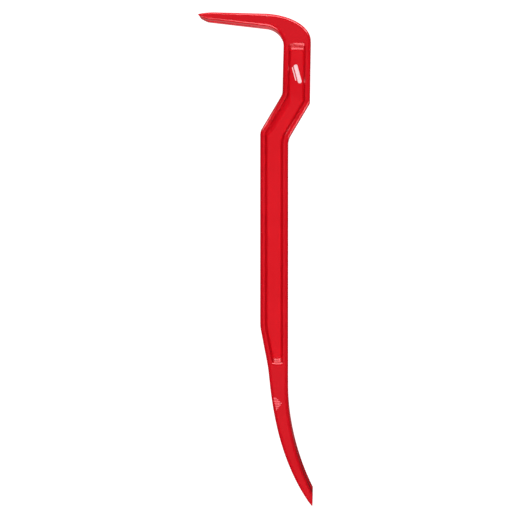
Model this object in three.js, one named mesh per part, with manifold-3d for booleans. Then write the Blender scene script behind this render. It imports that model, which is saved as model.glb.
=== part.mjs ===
// A one-piece forged pry bar: a right-angle claw, an offset I-beam handle and a curved lower claw.
// The bar lies on its side. +Y runs along the handle towards the right-angle claw, -X points the way
// that claw points, and +Z is up, square to the bar's flat side. The origin is under the middle of the
// bar's footprint. Millimetres throughout.
//
// The real bar is a single steel forging. It is modelled here as the zones that a smith would name,
// from claw to claw. Neighbouring zones meet face to face and share the same section.
import * as THREE from "three";
import { mergeVertices } from "three/addons/utils/BufferGeometryUtils.js";
import Module from "manifold-3d";

const wasm = await Module();
wasm.setup();

// Driving dimensions.
const LENGTH = 381; // over all, along the handle
const SPREAD = 88.6; // over all, from one claw's tip to the other's, across the handle
const CLAW_WIDTH = 44; // both claws, and the head that joins the upper one
const GRIP_WIDTH = 20; // the I-beam handle, across its flanges
const GRIP_DEPTH = 21.9; // the I-beam handle, from flange to flange
const EDGE_CHAMFER = 1;
const TIP_EDGE = 1; // thickness left at each claw's cutting edge

const POCKET_LAND = 3.9; // thickness of the flanges either side of the pocket
const POCKET_DEPTH = 4.8; // below the side face
const POCKET_DRAFT = 1.7; // how far the pocket's walls lean in by its floor
const POCKET_TOP = 167;
const POCKET_BOTTOM = -83.6;
const POCKET_RAMP_TOP = 5.4; // length of the slope at each end of the pocket
const POCKET_RAMP_BOTTOM = 6.2;

const SLOT_MOUTH = 11; // nail slots, at the cutting edge
const SLOT_THROAT = 4.4; // and at their round inner end
const UPPER_SLOT_LENGTH = 44;
const LOWER_SLOT_LENGTH = 50;
const LOWER_SLOT_TURN = 115; // degrees from +X to the lower slot's own line

const STEEL_PAINT = { color: 0xd51d27, roughness: 0.33, metalness: 0.0 };

// Places that follow from the dimensions.
const TOP = LENGTH / 2;
const BOTTOM = -LENGTH / 2;
const LEFT = -SPREAD / 2;
const RIGHT = SPREAD / 2;
const GRIP_INNER = 3;
const GRIP_OUTER = GRIP_INNER + GRIP_DEPTH;

// The bar's two edges, seen from the side, from the upper claw's tip to the lower claw's. `inner` is the
// edge on the hook's inside and its continuation. Each corner is [x, y, reach before, reach after],
// where the reach is how far the corner's rounding runs along the edge, and one reach serves both ways.
const stations = [
  { inner: [LEFT, TOP - 1.1 - TIP_EDGE], outer: [LEFT, TOP - 1.1] },
  { inner: [-38.4, 185.1, 1.5], outer: [-34.5, TOP + 0.14, 5.5], steps: 3 },
  { inner: [21.9, 178.1, 14.6], outer: [42.8, 188.5, 36.5, 20], steps: 12 },
  { inner: [20.4, 127.9, 2.4], outer: [41.9, 120.9, 1.0], steps: 3 },
  { inner: [GRIP_INNER, 98.9, 2.4], outer: [GRIP_OUTER, 92.4, 3.9], steps: 4 },
  { inner: [GRIP_INNER, -53.4, 3], outer: [GRIP_OUTER, -53.4, 3], steps: 2 },
  { inner: [8.7, -83.3, 4], outer: [GRIP_OUTER, -85.5, 4], steps: 2 },
  { inner: [17.0, -152, 54, 40], outer: [GRIP_OUTER, -143, 42, 44], steps: 12 },
  { inner: [40.3, -187.8, 1], outer: [RIGHT, -182.4, 0.8], steps: 2 },
  { inner: [RIGHT - TIP_EDGE - 0.1, BOTTOM], outer: [RIGHT - 0.1, BOTTOM + 0.4] },
];

// Where each zone starts, going down the bar's centre line. All of them are heights along Y.
const zoneStarts = {
  hook_claw: TOP,
  head_bend: 185,
  neck: POCKET_TOP,
  offset_crank: 131,
  handle_beam: 87,
  handle_taper: -50,
  blade_shank: POCKET_BOTTOM,
  pry_claw: -132,
};

// The bar is narrow in the handle and flares to each claw between these heights.
const UPPER_FLARE = { narrow: 104, wide: 176 };
const LOWER_FLARE = { narrow: -66, wide: -150 };
const FLARE_RINGS = 6;

const point = ([x, y]) => new THREE.Vector2(x, y);

// A corner rounded to a conic arc, which is circular where the two reaches are the same.
function roundedCorner(before, corner, after, steps) {
  const middle = point(corner);
  const [, , reachBefore = 0, reachAfter = reachBefore] = corner;
  const toBefore = point(before).sub(middle).normalize();
  const toAfter = point(after).sub(middle).normalize();
  const start = middle.clone().addScaledVector(toBefore, reachBefore);
  const end = middle.clone().addScaledVector(toAfter, reachAfter);
  const weight = Math.sin(Math.acos(THREE.MathUtils.clamp(toBefore.dot(toAfter), -1, 1)) / 2);
  return Array.from({ length: steps + 1 }, (_, i) => {
    const t = i / steps;
    const shares = [(1 - t) ** 2, 2 * weight * t * (1 - t), t ** 2];
    const total = shares[0] + shares[1] + shares[2];
    return new THREE.Vector2()
      .addScaledVector(start, shares[0] / total)
      .addScaledVector(middle, shares[1] / total)
      .addScaledVector(end, shares[2] / total);
  });
}

// The bar's cross-lines: each one joins a point on the inner edge to its partner on the outer edge.
function crossLines() {
  const lines = stations.flatMap((station, i) => {
    if (!station.steps) return [{ inner: point(station.inner), outer: point(station.outer) }];
    const [inner, outer] = ["inner", "outer"].map((edge) =>
      roundedCorner(stations[i - 1][edge], station[edge], stations[i + 1][edge], station.steps),
    );
    return inner.map((innerPoint, k) => ({ inner: innerPoint, outer: outer[k] }));
  });
  const flareHeights = [UPPER_FLARE, LOWER_FLARE].flatMap(({ narrow, wide }) =>
    Array.from({ length: FLARE_RINGS + 1 }, (_, i) => narrow + ((wide - narrow) * i) / FLARE_RINGS),
  );
  const rampEnds = [POCKET_TOP - POCKET_RAMP_TOP, POCKET_BOTTOM + POCKET_RAMP_BOTTOM];
  const zoneHeights = Object.values(zoneStarts).slice(1);
  for (const y of zoneHeights) addCrossLine(lines, y, 0);
  for (const y of rampEnds) addCrossLine(lines, y, 0);
  for (const y of flareHeights) addCrossLine(lines, y, 2);
  return lines;
}

const heightOf = ({ inner, outer }) => (inner.y + outer.y) / 2;

// Adds a cross-line at a height, unless one is already within `spacing` of it.
function addCrossLine(lines, y, spacing) {
  if (lines.some((line) => Math.abs(heightOf(line) - y) <= spacing)) return;
  const below = lines.findIndex((line) => heightOf(line) < y);
  const [from, to] = [lines[below - 1], lines[below]];
  const share = (heightOf(from) - y) / (heightOf(from) - heightOf(to));
  const inner = from.inner.clone().lerp(to.inner, share);
  const outer = from.outer.clone().lerp(to.outer, share);
  lines.splice(below, 0, { inner, outer });
}

function halfWidthAt(y) {
  const flare = y > 0 ? UPPER_FLARE : LOWER_FLARE;
  const share = THREE.MathUtils.clamp((y - flare.narrow) / (flare.wide - flare.narrow), 0, 1);
  const eased = THREE.MathUtils.smoothstep(share, 0, 1);
  return THREE.MathUtils.lerp(GRIP_WIDTH, CLAW_WIDTH, eased) / 2;
}

function pocketDepthAt(y) {
  const fromTop = (POCKET_TOP - y) / POCKET_RAMP_TOP;
  const fromBottom = (y - POCKET_BOTTOM) / POCKET_RAMP_BOTTOM;
  return POCKET_DEPTH * THREE.MathUtils.clamp(Math.min(fromTop, fromBottom), 0, 1);
}

// The section at a cross-line: chamfered, and hollowed from both sides if the zone has the pocket.
// The first half of the ring is the upper face, from the outer edge to the inner one, and the second
// half is its mirror image.
function sectionRing(lines, i, hasPocket) {
  const { inner, outer } = lines[i];
  const y = heightOf(lines[i]);
  const half = halfWidthAt(y);
  const across = outer.clone().sub(inner);
  const depth = across.length();
  across.normalize();
  const chamfer = Math.min(EDGE_CHAMFER, depth / 3);
  const upper = [
    [depth, half - chamfer],
    [depth - chamfer, half],
    [chamfer, half],
    [0, half - chamfer],
  ];
  if (hasPocket) {
    const centre = (line) => line.inner.clone().add(line.outer);
    const along = centre(lines[i + 1]).sub(centre(lines[i - 1])).normalize();
    const skew = 1 / Math.abs(across.cross(along));
    const land = POCKET_LAND * skew;
    const foot = land + POCKET_DRAFT * skew;
    const floor = half - pocketDepthAt(y);
    upper.splice(2, 0, [depth - land, half], [depth - foot, floor], [foot, floor], [land, half]);
  }
  const lower = upper.map(([u, v]) => [u, -v]).reverse();
  return [...upper, ...lower].map(([u, v]) => {
    const place = inner.clone().addScaledVector(across, u);
    return new THREE.Vector3(place.x, place.y, CLAW_WIDTH / 2 + v);
  });
}

// A closed body through rings of the same number of points, with a flat cap at each end.
function loft(rings) {
  const size = rings[0].length;
  const triangles = [];
  const quad = (a, b, c, d) => triangles.push(a, b, c, a, c, d);
  for (let i = 0; i + 1 < rings.length; i++) {
    for (let j = 0; j < size; j++) {
      const next = (j + 1) % size;
      quad(i * size + j, i * size + next, (i + 1) * size + next, (i + 1) * size + j);
    }
  }
  const last = (rings.length - 1) * size;
  for (let j = 0; j + 1 < size / 2; j++) {
    const mirror = size - 1 - j;
    quad(mirror, mirror - 1, j + 1, j);
    quad(last + j, last + j + 1, last + mirror - 1, last + mirror);
  }
  const geometry = new THREE.BufferGeometry();
  const places = rings.flat().flatMap(({ x, y, z }) => [x, y, z]);
  geometry.setAttribute("position", new THREE.Float32BufferAttribute(places, 3));
  geometry.setIndex(triangles);
  return geometry;
}

function solidOf(geometry) {
  const bare = geometry.clone();
  bare.deleteAttribute("normal");
  bare.deleteAttribute("uv");
  const merged = mergeVertices(bare);
  return new wasm.Manifold(
    new wasm.Mesh({
      numProp: 3,
      vertProperties: merged.attributes.position.array,
      triVerts: new Uint32Array(merged.index.array),
    }),
  );
}

function geometryOf(solid) {
  const mesh = solid.getMesh();
  const geometry = new THREE.BufferGeometry();
  geometry.setAttribute("position", new THREE.BufferAttribute(mesh.vertProperties, 3));
  geometry.setIndex(new THREE.BufferAttribute(mesh.triVerts, 1));
  return geometry;
}

// What is cut away for a nail slot: a wedge with a round end, right through a claw. It starts at the
// claw's tip and runs inwards at `turn` degrees from +X.
function nailSlot(tipX, tipY, length, turn) {
  const radius = SLOT_THROAT / 2;
  const end = length - radius;
  const flare = (SLOT_MOUTH / 2 - radius) / end;
  const overrun = 10; // past the tip
  const reach = 30; // through the metal, each way
  const shape = new THREE.Shape();
  shape.moveTo(end, -radius);
  shape.absarc(end, 0, radius, -Math.PI / 2, Math.PI / 2, false);
  shape.lineTo(-overrun, SLOT_MOUTH / 2 + flare * overrun);
  shape.lineTo(-overrun, -SLOT_MOUTH / 2 - flare * overrun);
  const geometry = new THREE.ExtrudeGeometry(shape, {
    depth: 2 * reach,
    bevelEnabled: false,
    curveSegments: 8,
  });
  geometry.translate(0, 0, -reach);
  geometry.rotateX(Math.PI / 2);
  geometry.rotateZ(THREE.MathUtils.degToRad(turn));
  geometry.translate(tipX, tipY, CLAW_WIDTH / 2);
  return solidOf(geometry);
}

const nailSlots = {
  hook_claw: nailSlot(LEFT, TOP, UPPER_SLOT_LENGTH, 0),
  pry_claw: nailSlot(RIGHT, BOTTOM, LOWER_SLOT_LENGTH, LOWER_SLOT_TURN),
};

const lines = crossLines();
const zoneNames = Object.keys(zoneStarts);
const indexAt = (y) => lines.findIndex((line) => heightOf(line) <= y + 1e-6);

const pryBar = new THREE.Group();
zoneNames.forEach((name, zone) => {
  const first = indexAt(zoneStarts[name]);
  const isLast = zone === zoneNames.length - 1;
  const last = isLast ? lines.length - 1 : indexAt(zoneStarts[zoneNames[zone + 1]]);
  const hasPocket = zoneStarts[name] <= POCKET_TOP && zoneStarts[name] > POCKET_BOTTOM;
  const rings = [];
  for (let i = first; i <= last; i++) rings.push(sectionRing(lines, i, hasPocket));
  let geometry = loft(rings);
  if (nailSlots[name]) geometry = geometryOf(solidOf(geometry).subtract(nailSlots[name]));
  geometry.computeVertexNormals();
  const mesh = new THREE.Mesh(geometry, new THREE.MeshStandardMaterial(STEEL_PAINT));
  mesh.name = name;
  pryBar.add(mesh);
});

export default pryBar;
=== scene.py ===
# The pry bar's looks: a high-resolution skin for each zone of the forging, with a glossy red powder
# coat and plain pale printed marks. The skins follow the solids' edges and section closely, with
# rounder corners, and the lower claw's edge is keener and so a little longer.
# Lengths in the shape functions are millimetres in the row frame; MM turns them into metres.
import math

import bmesh
import bpy
from mathutils import Matrix, Vector
from mathutils.bvhtree import BVHTree


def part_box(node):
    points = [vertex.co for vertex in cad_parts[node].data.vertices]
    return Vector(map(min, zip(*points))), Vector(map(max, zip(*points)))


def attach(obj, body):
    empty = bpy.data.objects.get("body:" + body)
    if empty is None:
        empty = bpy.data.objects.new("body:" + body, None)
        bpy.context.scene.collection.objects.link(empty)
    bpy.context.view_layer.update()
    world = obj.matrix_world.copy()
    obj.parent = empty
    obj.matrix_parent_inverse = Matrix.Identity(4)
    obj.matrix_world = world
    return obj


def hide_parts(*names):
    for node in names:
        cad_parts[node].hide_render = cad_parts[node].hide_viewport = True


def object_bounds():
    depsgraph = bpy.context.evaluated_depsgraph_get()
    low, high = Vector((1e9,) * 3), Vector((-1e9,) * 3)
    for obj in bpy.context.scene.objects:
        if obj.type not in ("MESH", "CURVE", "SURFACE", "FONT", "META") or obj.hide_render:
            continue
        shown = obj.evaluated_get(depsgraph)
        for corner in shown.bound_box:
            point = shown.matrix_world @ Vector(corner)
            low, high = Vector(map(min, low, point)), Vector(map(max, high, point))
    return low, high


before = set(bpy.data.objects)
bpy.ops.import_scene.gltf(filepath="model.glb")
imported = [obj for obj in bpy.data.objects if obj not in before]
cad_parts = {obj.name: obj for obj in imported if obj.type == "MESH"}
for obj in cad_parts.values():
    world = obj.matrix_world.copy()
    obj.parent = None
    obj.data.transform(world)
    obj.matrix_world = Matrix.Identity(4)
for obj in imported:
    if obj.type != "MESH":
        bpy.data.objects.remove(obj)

CAD_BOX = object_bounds()
MM = 0.001
ROOT = "root"


def box_mm(node):
    low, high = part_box(node)
    return low / MM, high / MM


# Driving dimensions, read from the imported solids.
LOW, HIGH = (corner / MM for corner in CAD_BOX)
LEFT, RIGHT = LOW.x, HIGH.x
BOTTOM, TOP = LOW.y, HIGH.y
CLAW_WIDTH = HIGH.z - LOW.z
MIDDLE = (HIGH.z + LOW.z) / 2  # the height of the bar's plane of symmetry
GRIP_LOW, GRIP_HIGH = box_mm("handle_beam")
GRIP_INNER, GRIP_OUTER = GRIP_LOW.x, box_mm("handle_taper")[1].x
GRIP_WIDTH = GRIP_HIGH.z - GRIP_LOW.z

# The edges of the section.
EDGE_BEVEL = 1.8
BEVEL_ROUNDING = 0.55  # how far the bevel's two corners are rounded, as a share of its size
THIN_BEVEL = 0.19  # the most that a bevel takes of the bar's thickness
EDGE_LEAN = 0.15  # how far the handle's flanges lean in from their middle to their edge
FLASH_BAND = 1.1  # half the width of the trimmed band along the flanges' middle
FLASH_ROUNDING = 0.3  # the reach of the rounding beside that band
FLASH_STEPS, BEVEL_STEPS = 2, 4

# The pocket in each side face.
POCKET_LAND = 3.9  # from the bar's edge to the pocket's lip
POCKET_DEPTH = 4.8
POCKET_DRAFT = 1.7  # how far a wall runs in from its lip to its foot
POCKET_LIP = 0.4  # the reach of the rounding along the lip
POCKET_FILLET = 0.9  # the reach of the rounding along the foot
CRANK_LIP = 0.8  # the crank's outer flange has a rounder lip
CRANK_FILLET = 4.2  # the crank's inner flange runs softly into the floor
LIP_SHARE = 0.3  # the most that a lip's rounding takes of a shallow wall
STRAIGHT_WALL = 0.1  # the least that is left straight between the two roundings
POCKET_TOP, POCKET_BOTTOM = 167, -83.6
POCKET_RAMP_TOP, POCKET_RAMP_BOTTOM = 5.4, 6.2
TOP_RAMP_ROUNDING, BOTTOM_RAMP_ROUNDING = 0.12, 0.48  # the share of a ramp that curves at either end
FLOOR_POINTS = 5  # across the pocket's floor
POCKET_STEPS = 5

# The claws.
TIP_DROP = 1.1  # how far the upper claw's edge lies below the top of the bar
TIP_EDGE = 1.4  # how thick that edge is
TIP_REACH = 1.6  # how far the lower claw's keen edge runs past the solid's
SLOT_MOUTH, SLOT_THROAT = 11, 4.4
UPPER_SLOT_LENGTH, LOWER_SLOT_LENGTH = 43, 50
CLAW_CORNER = 0.8  # reach of the rounding at the claws' corners, seen square to the blade
MOUTH_CORNER = 2.0
CORNER_STEPS, THROAT_STEPS = 8, 12

CRANK = (92, 128)  # the heights between which the bar steps sideways
CRANK_EASE = 8  # the stretch at either end over which the crank's own roundings come in
UPPER_FLARE = (104, 176)  # narrow below the first height, full width above the second
LOWER_FLARE = (-66, -150)
FINEST = 1.1  # the longest step between cross-lines

# How near counts as the same, for points, cuts and lengths.
SAME_POINT, SAME_CUT, SAME_LENGTH = 1e-4, 1e-5, 1e-6

# The two edges of the bar, seen from the side, from the upper claw's tip to the lower claw's. Each
# corner is x, y, the reach of its rounding before it and, where it differs, after it. "steps" is how
# many stretches the roundings are drawn in.
STATIONS = [
    {"inner": (LEFT + 0.2, TOP - TIP_DROP - TIP_EDGE), "outer": (LEFT - 0.4, TOP - TIP_DROP)},
    {"inner": (-38.8, 185.3, 1.5), "outer": (-36.0, TOP + 0.14, 4.5), "steps": 8},
    {"inner": (21.9, 178.15, 14.1), "outer": (42.8, 188.5, 36.5, 20), "steps": 48},
    {"inner": (20.4, 127.9, 2.4), "outer": (41.9, 120.9, 1.0), "steps": 10},
    {"inner": (GRIP_INNER, 98.9, 2.4), "outer": (GRIP_OUTER, 92.4, 3.9), "steps": 12},
    {"inner": (GRIP_INNER, -53.4, 3), "outer": (GRIP_OUTER, -53.4, 3), "steps": 6},
    {"inner": (9.2, -85.0, 4), "outer": (GRIP_OUTER, -85.5, 4), "steps": 6},
    {"inner": (17.0, -152, 54, 40), "outer": (GRIP_OUTER, -143, 42, 44), "steps": 70},
    {"inner": (41.0, -189.0, 1), "outer": (RIGHT, -182.4, 0.8), "steps": 6},
    {"inner": (RIGHT - 0.7, BOTTOM - TIP_REACH), "outer": (RIGHT, BOTTOM + 0.6 - TIP_REACH)},
]

# Where each zone starts, going down the bar, in the order of the zones.
ZONE_STARTS = {
    "hook_claw": TOP,
    "head_bend": 185,
    "neck": POCKET_TOP,
    "offset_crank": 131,
    "handle_beam": 87,
    "handle_taper": -50,
    "blade_shank": POCKET_BOTTOM,
    "pry_claw": -132,
}

# The printed marks: two slanted bars in the neck's pocket and a patch of short dashes on the shank.
MARK_HEIGHT, MARK_ROOT = 0.06, 0.05  # above the coating, and sunk into it
MARK_GRID = 0.5  # the size of a mark's mesh squares
MARK_END = 0.02  # added to half a mark's width, so that its very end isn't a point
OVERHEAD = 100  # a height well above the bar, from which the marks are dropped onto it
NECK_MARKS = [  # name, middle, length, width
    ("neck_mark", (32.4, 143.4), 15, 3),
    ("neck_underline", (29.6, 143.4), 11, 0.8),
]
NECK_SLANT = math.radians(-75)
PATCH_ROWS, WIDEST_ROW = 8, 3
PATCH_TOP, PATCH_PITCH = -108.6, 1.25
PATCH_LEFT, PATCH_RIGHT = 13.6, 20.4
LEFT_STEP = 0.3  # how much further right each row starts than the one above it
UPPER_STEP, LOWER_STEP = 1.3, 0.9  # how much sooner each row ends, going up or down from the widest
DASH_WIDTH = 0.7

# The studio, in metres and degrees, with the lens in millimetres.
FLOOR_REACH = 3
LAMPS = [  # name, direction towards the lamp, strength, how wide it looks
    ("upper overhead", (0.05, 0.6, 1), 1.85, 12),
    ("lower overhead", (-0.05, -0.7, 1), 1.8, 12),
    ("soft sky", (0, 0, 1), 0.4, 160),
    ("low left glow", (-0.4, -1, -0.2), 1.5, 14),
    ("low right glow", (1, -0.9, -0.25), 1.8, 14),
    ("top glow", (-0.2, 1, -0.2), 4.2, 14),
]
CAMERA_PLACE = Vector((0.0482, 0.0650, 1.799))
CAMERA_AIM = Vector((0.0034, -0.0007, 0.044))
FOCAL_LENGTH, SENSOR_WIDTH = 157.2, 36


def clamp01(share):
    return min(1.0, max(0.0, share))


def smooth(share):
    share = clamp01(share)
    return share * share * (3 - 2 * share)


def point(corner):
    return Vector(corner[:2])


def rounded_corner(before, corner, after, steps):
    """The rounding of one corner: a conic arc, circular where its two reaches are the same."""
    middle = point(corner)
    reach_before = corner[2] if len(corner) > 2 else 0
    reach_after = corner[3] if len(corner) > 3 else reach_before
    to_before = (point(before) - middle).normalized()
    to_after = (point(after) - middle).normalized()
    start = middle + to_before * reach_before
    end = middle + to_after * reach_after
    cosine = min(1.0, max(-1.0, to_before.dot(to_after)))
    weight = math.sin(math.acos(cosine) / 2)
    points = []
    for i in range(steps + 1):
        t = i / steps
        a, b, c = (1 - t) ** 2, 2 * weight * t * (1 - t), t ** 2
        points.append((start * a + middle * b + end * c) / (a + b + c))
    return points


def height_of(line):
    return (line[0].y + line[1].y) / 2


def centre_of(line):
    return (line[0] + line[1]) / 2


def between(a, b, share):
    return a[0].lerp(b[0], share), a[1].lerp(b[1], share)


def cross_lines():
    """(inner point, outer point) pairs down the bar, never further apart than FINEST."""
    lines = []
    for i, station in enumerate(STATIONS):
        if "steps" not in station:
            lines.append((point(station["inner"]), point(station["outer"])))
            continue
        inner, outer = (
            rounded_corner(
                STATIONS[i - 1][edge], station[edge], STATIONS[i + 1][edge], station["steps"]
            )
            for edge in ("inner", "outer")
        )
        lines.extend(zip(inner, outer))
    exact = list(ZONE_STARTS.values())[1:]
    exact += [POCKET_TOP - POCKET_RAMP_TOP, POCKET_BOTTOM + POCKET_RAMP_BOTTOM]
    for y in exact:
        below = next(k for k, line in enumerate(lines) if height_of(line) < y)
        top, low = height_of(lines[below - 1]), height_of(lines[below])
        lines.insert(below, between(lines[below - 1], lines[below], (top - y) / (top - low)))
    fine = [lines[0]]
    for line in lines[1:]:
        gap = (centre_of(line) - centre_of(fine[-1])).length
        if gap < SAME_LENGTH:
            continue
        previous, steps = fine[-1], math.ceil(gap / FINEST)
        fine.extend(between(previous, line, (k + 1) / steps) for k in range(steps))
    return fine


def half_width(y):
    narrow, wide = UPPER_FLARE if y > 0 else LOWER_FLARE
    eased = smooth((y - narrow) / (wide - narrow))
    return (GRIP_WIDTH + (CLAW_WIDTH - GRIP_WIDTH) * eased) / 2


def rounded_ramp(share, rounding):
    """0 to 1 in a straight slope whose ends are eased."""
    share = clamp01(share)
    curve = 2 * rounding * (1 - rounding)
    if share < rounding:
        return share * share / curve
    if share > 1 - rounding:
        return 1 - (1 - share) ** 2 / curve
    return (share - rounding / 2) / (1 - rounding)


def pocket_depth(y):
    top = rounded_ramp((POCKET_TOP - y) / POCKET_RAMP_TOP, TOP_RAMP_ROUNDING)
    bottom = rounded_ramp((y - POCKET_BOTTOM) / POCKET_RAMP_BOTTOM, BOTTOM_RAMP_ROUNDING)
    return POCKET_DEPTH * min(top, bottom)


def edge_lean(half):
    """How far the edge has leaned in where it reaches the side face: the claws are square."""
    return EDGE_LEAN * (CLAW_WIDTH / 2 - half) / ((CLAW_WIDTH - GRIP_WIDTH) / 2)


def bevel():
    """The bevel along every edge: (in from one face, in from the other), from face to face.

    The first and last corners only say which way the faces run.
    """
    corners = [(0, 3 * EDGE_BEVEL), (0, EDGE_BEVEL), (EDGE_BEVEL, 0), (3 * EDGE_BEVEL, 0)]
    reach = BEVEL_ROUNDING * EDGE_BEVEL
    first = rounded_corner(corners[0], (*corners[1], reach), corners[2], BEVEL_STEPS)
    return first + rounded_corner(corners[1], (*corners[2], reach), corners[3], BEVEL_STEPS)


def bevel_size(thickness):
    """The bevel's size as a share of EDGE_BEVEL, where the bar is this thick."""
    return min(1.0, THIN_BEVEL * thickness / EDGE_BEVEL)


def edge_profile(depth, half, skew, pocket, lip_reach=POCKET_LIP, widest_fillet=POCKET_FILLET):
    """From an edge's middle up over its bevel, and on into the pocket if there is one: (in, up)."""
    size, lean = bevel_size(depth), edge_lean(half)
    points = [Vector((0, 0))]
    band_end = (0, FLASH_BAND, FLASH_ROUNDING)
    points += rounded_corner((0, 0), band_end, (lean * skew, half), FLASH_STEPS)
    points += [Vector((lean + p.x * size, half - p.y * size)) for p in bevel()]
    for p in points:
        p.x *= skew
    corners = [points[-1]]
    if pocket is not None:
        lip = POCKET_LAND * skew
        foot = lip + POCKET_DRAFT * skew
        wall = math.hypot(foot - lip, pocket)
        lip_reach = min(lip_reach, LIP_SHARE * wall)
        fillet = min(widest_fillet, wall - lip_reach - STRAIGHT_WALL)
        corners.append((lip, half, lip_reach))
        corners.append((foot, half - pocket, fillet))
    corners.append((depth / 2, corners[-1][1]))
    for before, corner, after in zip(corners, corners[1:], corners[2:]):
        points += rounded_corner(before, corner, after, POCKET_STEPS)
    return points


def section_ring(lines, i, pocketed):
    """The bar's section on one cross-line, all the way round, in metres."""
    inner, outer = lines[i]
    across = outer - inner
    depth = across.length
    across.normalize()
    along = centre_of(lines[min(i + 1, len(lines) - 1)]) - centre_of(lines[max(i - 1, 0)])
    skew = 1 / abs(across.cross(along.normalized()))
    y = height_of(lines[i])
    half = half_width(y)

    def pocket_at(u):
        return pocket_depth(inner.y + across.y * u) if pocketed else None

    foot = (POCKET_LAND + POCKET_DRAFT) * skew
    cranked = smooth((y - CRANK[0]) / CRANK_EASE) * smooth((CRANK[1] - y) / CRANK_EASE)
    lip_reach = POCKET_LIP + (CRANK_LIP - POCKET_LIP) * cranked
    fillet = POCKET_FILLET + (CRANK_FILLET - POCKET_FILLET) * cranked
    outer_side = edge_profile(depth, half, skew, pocket_at(depth - foot), lip_reach=lip_reach)
    inner_side = edge_profile(depth, half, skew, pocket_at(foot), widest_fillet=fillet)
    upper = [(depth - p.x, p.y) for p in outer_side]
    floor_start, floor_end = depth - outer_side[-1].x, inner_side[-1].x
    for k in range(FLOOR_POINTS):
        u = floor_start + (floor_end - floor_start) * (k + 1) / (FLOOR_POINTS + 1)
        upper.append((u, half - (pocket_at(u) if pocketed else 0)))
    upper += [(p.x, p.y) for p in reversed(inner_side)]
    lower = [(u, -v) for u, v in reversed(upper[1:-1])]
    ring = []
    for u, v in upper + lower:
        place = inner + across * u
        ring.append(Vector((place.x, place.y, MIDDLE + v)) * MM)
    return ring


def add_piece(name, bm, sharp):
    """A mesh object with smooth, area-weighted normals, creased along the edges in `sharp`."""
    for edge in sharp:
        edge.smooth = False
    for face in bm.faces:
        face.smooth = True
    bmesh.ops.recalc_face_normals(bm, faces=bm.faces)
    mesh = bpy.data.meshes.new(name)
    bm.to_mesh(mesh)
    bm.free()
    piece = bpy.data.objects.new(name, mesh)
    bpy.context.scene.collection.objects.link(piece)
    weighted = piece.modifiers.new("weighted normals", "WEIGHTED_NORMAL")
    weighted.mode = "FACE_AREA"
    weighted.keep_sharp = True
    return piece


def loft(name, rings):
    """A closed body through the rings, capped at both ends."""
    bm = bmesh.new()
    loops = [[bm.verts.new(p) for p in ring] for ring in rings]
    size = len(rings[0])
    for loop, following in zip(loops, loops[1:]):
        for j in range(size):
            k = (j + 1) % size
            bm.faces.new((loop[j], loop[k], following[k], following[j]))
    sharp = set()
    for loop in (loops[0], loops[-1]):
        for j in range(size // 2):
            # A strip across the cap; at either end two of its corners are one.
            strip = dict.fromkeys((loop[j], loop[j + 1], loop[-j - 1], loop[-j]))
            bm.faces.new(list(strip))
        rim = set(loop)
        sharp.update(edge for vert in loop for edge in vert.link_edges if rim.issuperset(edge.verts))
    return add_piece(name, bm, sharp)


def nail_slot_plan(tip, length, half):
    """A claw seen square to its blade: s runs to the tip, z across. Starts before the claw's root."""
    mouth, throat = SLOT_MOUTH / 2, SLOT_THROAT / 2
    slot_end = tip - length + throat
    root = -4 * EDGE_BEVEL
    corners = [
        (root, -half),
        (tip, -half, CLAW_CORNER),
        (tip, -mouth, MOUTH_CORNER),
        (slot_end, -throat),
    ]
    side = [point(corners[0])]
    for k in (1, 2):
        side += rounded_corner(corners[k - 1], corners[k], corners[k + 1], CORNER_STEPS)
    arc = []
    for k in range(THROAT_STEPS + 1):
        angle = -math.pi / 2 + math.pi * k / THROAT_STEPS
        arc.append(Vector((slot_end - throat * math.cos(angle), throat * math.sin(angle))))
    other = [Vector((p.x, -p.y)) for p in reversed(side)]
    return side + arc + other


def offset_inwards(outline, distance):
    """A counter-clockwise outline moved inwards, keeping its points in step."""
    moved = []
    for i, here in enumerate(outline):
        into = (here - outline[i - 1]).normalized()
        out = (outline[(i + 1) % len(outline)] - here).normalized()
        normal = Vector((-(into.y + out.y), into.x + out.x)).normalized()
        stretch = 1 / max(0.5, normal.dot(Vector((-into.y, into.x))))  # twice at most, at a sharp corner
        moved.append(here + normal * distance * stretch)
    return moved


def distance_to(outline, place):
    """From a place to the nearest point of a closed outline."""
    nearest = math.inf
    for i, a in enumerate(outline):
        b = outline[(i + 1) % len(outline)]
        span = b - a
        share = clamp01((place - a).dot(span) / span.length_squared)
        nearest = min(nearest, (place - a - span * share).length)
    return nearest


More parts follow.
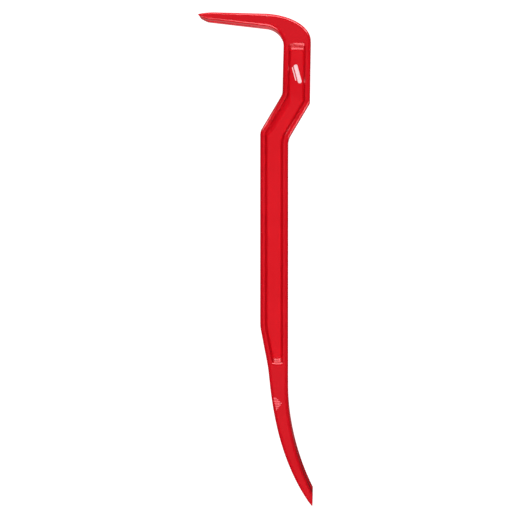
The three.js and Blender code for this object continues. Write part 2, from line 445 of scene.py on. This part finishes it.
def claw(name, lines, slot_length):
    """A claw, from its root to its tip: a flat plan with the nail slot, wrapped round the blade."""
    travelled = [0.0]
    for a, b in zip(lines, lines[1:]):
        travelled.append(travelled[-1] + (centre_of(b) - centre_of(a)).length)
    half = CLAW_WIDTH / 2
    outline = nail_slot_plan(travelled[-1], slot_length, half)
    curve = bevel()
    flat = bmesh.new()
    rings = []
    for step in curve:
        ring = offset_inwards(outline, step.x) if step.x else outline
        rings.append([flat.verts.new((p.x, p.y, 0)) for p in ring])
    size = len(outline)
    for ring, following in zip(rings, rings[1:]):
        for j in range(size):
            k = (j + 1) % size
            flat.faces.new((ring[j], ring[k], following[k], following[j]))
    flat.faces.new(rings[-1])
    for s in travelled[:-1]:
        geometry = flat.verts[:] + flat.edges[:] + flat.faces[:]
        bmesh.ops.bisect_plane(
            flat, geom=geometry, dist=SAME_CUT, plane_co=(s, 0, 0), plane_no=(1, 0, 0),
            clear_inner=s == 0,
        )
    bmesh.ops.remove_doubles(flat, verts=flat.verts, dist=SAME_POINT)

    def bevel_drop(near):
        """How far the bevel lies below the blade's face, this near to the claw's outline."""
        k = next((k for k, p in enumerate(curve) if p.x >= near - SAME_LENGTH), None)
        if k is None:
            return 0
        if k == 0 or curve[k].x <= near:
            return curve[k].y
        span = curve[k].x - curve[k - 1].x
        return curve[k - 1].lerp(curve[k], (near - curve[k - 1].x) / span).y

    def wrapped(place, outer):
        """A point of the flat plan, carried onto the blade's outer or inner face."""
        k = max(j for j, s in enumerate(travelled) if s <= max(0.0, place.x) + SAME_LENGTH)
        k = min(k, len(lines) - 2)
        share = (place.x - travelled[k]) / (travelled[k + 1] - travelled[k])
        inner_point, outer_point = between(lines[k], lines[k + 1], clamp01(share))
        across = outer_point - inner_point
        drop = bevel_drop(distance_to(outline, place.to_2d())) * bevel_size(across.length)
        across.normalize()
        spot = outer_point - across * drop if outer else inner_point + across * drop
        taper = half_width((inner_point.y + outer_point.y) / 2) / half
        return Vector((spot.x, spot.y, MIDDLE + place.y * taper)) * MM

    bm = bmesh.new()
    flat.verts.index_update()
    outer_verts = [bm.verts.new(wrapped(v.co, True)) for v in flat.verts]
    inner_verts = [bm.verts.new(wrapped(v.co, False)) for v in flat.verts]
    sharp = set()
    for face in flat.faces:
        bm.faces.new([outer_verts[v.index] for v in face.verts])
        bm.faces.new([inner_verts[v.index] for v in reversed(face.verts)])
    for edge in flat.edges:
        if not edge.is_boundary:
            continue
        a, b = (v.index for v in edge.verts)
        wall = bm.faces.new((outer_verts[a], inner_verts[a], inner_verts[b], outer_verts[b]))
        if all(abs(v.co.x) < SAME_POINT for v in edge.verts):
            sharp.update(wall.edges)
    flat.free()
    return add_piece(name, bm, sharp)


def zones():
    """The coated skins, one for each CAD node, by the node's name."""
    lines = cross_lines()
    starts = [
        next(k for k, line in enumerate(lines) if height_of(line) <= y + SAME_POINT)
        for y in ZONE_STARTS.values()
    ]
    ends = starts[1:] + [len(lines) - 1]
    skins = {}
    for name, start, end in zip(ZONE_STARTS, starts, ends):
        stretch = lines[start:end + 1]
        if name == "hook_claw":
            piece = claw(name + "_skin", stretch[::-1], UPPER_SLOT_LENGTH)
        elif name == "pry_claw":
            piece = claw(name + "_skin", stretch, LOWER_SLOT_LENGTH)
        else:
            pocketed = POCKET_BOTTOM < ZONE_STARTS[name] <= POCKET_TOP
            rings = [section_ring(lines, k, pocketed) for k in range(start, end + 1)]
            piece = loft(name + "_skin", rings)
        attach(piece, ROOT)
        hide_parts(name)
        skins[name] = piece
    return skins


def mark(name, skin, middle, length, width, turn):
    """A thin printed bar with round ends that lies on the skin under it."""
    tree = BVHTree.FromObject(skin, bpy.context.evaluated_depsgraph_get())
    along = Vector((math.cos(turn), math.sin(turn)))
    aside = Vector((-along.y, along.x))
    columns = max(4, round(length / MARK_GRID))
    rows = max(2, round(width / MARK_GRID))
    bm = bmesh.new()
    sheet = []
    for i in range(columns + 1):
        s = length * (i / columns - 0.5)
        past_end = max(0.0, abs(s) - (length - width) / 2)
        reach = math.sqrt(max(0.0, (width / 2) ** 2 - past_end ** 2)) + MARK_END
        line = []
        for j in range(rows + 1):
            spot = Vector(middle) + along * s + aside * reach * (2 * j / rows - 1)
            above = Vector((spot.x, spot.y, OVERHEAD)) * MM
            hit, normal, _, _ = tree.ray_cast(above, Vector((0, 0, -1)))
            line.append([bm.verts.new(hit + normal * lift * MM) for lift in (MARK_HEIGHT, -MARK_ROOT)])
        sheet.append(line)
    for i in range(columns):
        for j in range(rows):
            quad = (sheet[i][j], sheet[i + 1][j], sheet[i + 1][j + 1], sheet[i][j + 1])
            bm.faces.new([pair[0] for pair in quad])
            bm.faces.new([pair[1] for pair in reversed(quad)])
    rim = [line[0] for line in sheet] + sheet[-1][1:] + [line[-1] for line in sheet[-2::-1]]
    rim += sheet[0][-2:0:-1]
    for a, b in zip(rim, rim[1:] + rim[:1]):
        bm.faces.new((a[0], a[1], b[1], b[0]))
    piece = add_piece(name, bm, [])
    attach(piece, ROOT)
    return piece


def marks(skins):
    """Plain bars where the bar carries its print."""
    pieces = [
        mark(name, skins["neck"], middle, length, width, NECK_SLANT)
        for name, middle, length, width in NECK_MARKS
    ]
    for row in range(PATCH_ROWS):
        left = PATCH_LEFT + LEFT_STEP * row
        right = PATCH_RIGHT - max(UPPER_STEP * (WIDEST_ROW - row), LOWER_STEP * (row - WIDEST_ROW))
        middle = ((left + right) / 2, PATCH_TOP - PATCH_PITCH * row)
        name = f"shank_dash_{row + 1}"
        pieces.append(mark(name, skins["blade_shank"], middle, right - left, DASH_WIDTH, 0))
    return pieces


def ranged(tree, value, start, end, first, last, easing="LINEAR"):
    """The value carried from start..end to first..last, and held outside them."""
    node = tree.nodes.new("ShaderNodeMapRange")
    node.interpolation_type = easing
    node.inputs["From Min"].default_value = start
    node.inputs["From Max"].default_value = end
    node.inputs["To Min"].default_value = first
    node.inputs["To Max"].default_value = last
    tree.links.new(value, node.inputs["Value"])
    return node.outputs["Result"]


def calculated(tree, operation, *values):
    """A Math node on sockets and plain numbers."""
    node = tree.nodes.new("ShaderNodeMath")
    node.operation = operation
    for socket, value in zip(node.inputs, values):
        if isinstance(value, (int, float)):
            socket.default_value = value
        else:
            tree.links.new(value, socket)
    return node.outputs[0]


def toned(tree, value, first, last, *between_them):
    """A colour ramp through (place, colour) stops."""
    node = tree.nodes.new("ShaderNodeValToRGB")
    elements = node.color_ramp.elements
    for element, (place, colour) in zip(elements, (first, last)):
        element.position = place
        element.color = (*colour, 1)
    for place, colour in between_them:
        elements.new(place).color = (*colour, 1)
    tree.links.new(value, node.inputs["Fac"])
    return node.outputs["Color"]


def noise(tree, scale, detail):
    """Noise through the whole bar; the scale is about how many of its lumps lie in a metre."""
    node = tree.nodes.new("ShaderNodeTexNoise")
    node.inputs["Scale"].default_value = scale
    node.inputs["Detail"].default_value = detail
    place = tree.nodes.new("ShaderNodeTexCoord").outputs["Object"]
    tree.links.new(place, node.inputs["Vector"])
    return node.outputs["Fac"]


def bump(tree, height, strength, distance):
    """Relief that follows the height and is `distance` metres deep at full strength."""
    node = tree.nodes.new("ShaderNodeBump")
    node.inputs["Strength"].default_value = strength
    node.inputs["Distance"].default_value = distance
    tree.links.new(height, node.inputs["Height"])
    return node


def new_material(name):
    material = bpy.data.materials.new(name)
    material.use_nodes = True
    return material, material.node_tree, material.node_tree.nodes["Principled BSDF"]


def pale_print():
    """Grainy pale ink: dense and palest at the neck, thin and pink on the shank."""
    material, tree, shader = new_material("pale print")
    shader.inputs["Roughness"].default_value = 0.45
    place = tree.nodes.new("ShaderNodeSeparateXYZ")
    coordinates = tree.nodes.new("ShaderNodeTexCoord").outputs["Object"]
    tree.links.new(coordinates, place.inputs["Vector"])
    ink = ranged(tree, place.outputs["Y"], -0.05, 0.05, 0, 0.7)
    grain = noise(tree, scale=1500, detail=2)
    grainy = calculated(tree, "MULTIPLY_ADD", grain, 0.3, ink)
    colour = toned(tree, grainy, (0.1, (0.85, 0.11, 0.14)), (0.9, (0.88, 0.68, 0.70)))
    tree.links.new(colour, shader.inputs["Base Color"])
    return material


def coating():
    """Glossy red powder coat: fine orange peel over the gentle waves of a forged face."""
    material, tree, shader = new_material("red powder coat")
    shader.inputs["IOR"].default_value = 1.5
    deep, bright = (0.585, 0.0042, 0.0105), (0.625, 0.0060, 0.0135)
    tint = toned(tree, noise(tree, scale=28, detail=3), (0.3, deep), (0.7, bright))
    tree.links.new(tint, shader.inputs["Base Color"])
    roughness = ranged(tree, noise(tree, scale=160, detail=4), 0.3, 0.7, 0.11, 0.16)
    tree.links.new(roughness, shader.inputs["Roughness"])
    waves = bump(tree, noise(tree, scale=60, detail=2), strength=0.5, distance=0.0001)
    peel = bump(tree, noise(tree, scale=900, detail=2), strength=0.15, distance=0.00005)
    tree.links.new(waves.outputs["Normal"], peel.inputs["Normal"])
    tree.links.new(peel.outputs["Normal"], shader.inputs["Normal"])
    return material


def pale_floor():
    """A plain pale floor that glows. Lamps shine up through it, and the bar doesn't reflect it."""
    mesh = bpy.data.meshes.new("floor")
    corners = [(x * FLOOR_REACH, y * FLOOR_REACH, 0) for x, y in ((-1, -1), (1, -1), (1, 1), (-1, 1))]
    mesh.from_pydata(corners, [], [(0, 1, 2, 3)])
    floor = bpy.data.objects.new("floor", mesh)
    bpy.context.scene.collection.objects.link(floor)
    material, _, shader = new_material("pale floor")
    shader.inputs["Base Color"].default_value = (0.3, 0.3, 0.3, 1)
    shader.inputs["Roughness"].default_value = 1.0
    shader.inputs["Emission Color"].default_value = (1, 1, 1, 1)
    shader.inputs["Emission Strength"].default_value = 0.95
    mesh.materials.append(material)
    floor.visible_glossy = False
    floor.visible_diffuse = False
    floor.visible_shadow = False


def surround():
    """What the coating reflects: a world that is bright in a few directions and dark in the rest."""
    world = bpy.data.worlds.new("studio")
    world.use_nodes = True
    tree = world.node_tree
    direction = tree.nodes.new("ShaderNodeSeparateXYZ")
    generated = tree.nodes.new("ShaderNodeTexCoord").outputs["Generated"]
    tree.links.new(generated, direction.inputs["Vector"])
    x, y, height = (direction.outputs[axis] for axis in "XYZ")

    def eased(value, start, end, first, last):
        return ranged(tree, value, start, end, first, last, easing="SMOOTHSTEP")

    def both(a, b):
        return calculated(tree, "MULTIPLY", a, b)

    def total(a, b):
        return calculated(tree, "ADD", a, b)

    # Beyond both ends of the bar, near the horizon: highlights on the rims and the pocket's ramps.
    ends = total(eased(y, 0.35, 0.6, 0, 14), eased(y, -0.6, -0.9, 0, 11))
    band = both(eased(height, 0.3, 0.55, 1, 0), eased(height, -0.12, 0.03, 0, 1))
    # Low on the right, towards the lower claw: a highlight on the crank's outer edge.
    corner = both(eased(x, 0.55, 0.75, 0, 9), eased(y, -0.3, -0.45, 0, 1))
    low_band = both(eased(height, 0.05, 0.2, 1, 0), eased(height, -0.25, -0.1, 0, 1))
    # Up from under the bar, brighter on the left, and a little from straight above.
    below = both(eased(x, 0.085, 0.045, 0.1, 1.0), eased(height, -0.3, -0.6, 0, 1))
    above = eased(height, 0.85, 0.95, 0.0, 0.45)
    glow = total(total(both(ends, band), both(corner, low_band)), total(below, above))
    # Pink from the horizon up and red below it, but grey-brown straight down and a little to the left.
    red_tone = calculated(
        tree, "MAXIMUM", eased(x, -0.05, -0.085, 0.3, 0), eased(height, -0.9, -0.98, 0.3, 0)
    )
    tone = calculated(tree, "MAXIMUM", eased(height, -0.3, -0.1, 0, 1), red_tone)
    brown, pink, red = (0.26, 0.17, 0.15), (1, 0.42, 0.44), (0.66, 0.13, 0.14)
    background = tree.nodes["Background"]
    tree.links.new(toned(tree, tone, (0, brown), (1, pink), (0.3, red)), background.inputs["Color"])
    tree.links.new(glow, background.inputs["Strength"])
    world.cycles_visibility.diffuse = False
    bpy.context.scene.world = world


def lamps():
    """Soft sun lamps, which the gloss doesn't reflect."""
    for name, towards, strength, spread in LAMPS:
        light = bpy.data.lights.new(name, "SUN")
        light.energy = strength
        light.angle = math.radians(spread)
        lamp = bpy.data.objects.new(name, light)
        bpy.context.scene.collection.objects.link(lamp)
        lamp.rotation_euler = Vector(towards).to_track_quat("Z", "Y").to_euler()
        lamp.visible_glossy = False


def camera():
    """A long lens high over the bar, a little up and to the right, with the bar upright in view."""
    data = bpy.data.cameras.new("camera")
    data.sensor_width = SENSOR_WIDTH
    data.lens = FOCAL_LENGTH
    cam = bpy.data.objects.new("camera", data)
    bpy.context.scene.collection.objects.link(cam)
    cam.location = CAMERA_PLACE
    view = (CAMERA_AIM - cam.location).normalized()
    right = view.cross(Vector((0, 1, 0))).normalized()
    up = right.cross(view)
    cam.rotation_euler = Matrix((right, up, -view)).transposed().to_euler()
    bpy.context.scene.camera = cam


skins = zones()
red, pale = coating(), pale_print()
for piece in skins.values():
    piece.data.materials.append(red)
for piece in marks(skins):
    piece.data.materials.append(pale)
pale_floor()
surround()
lamps()
camera()
bpy.context.scene.view_settings.view_transform = "Standard"
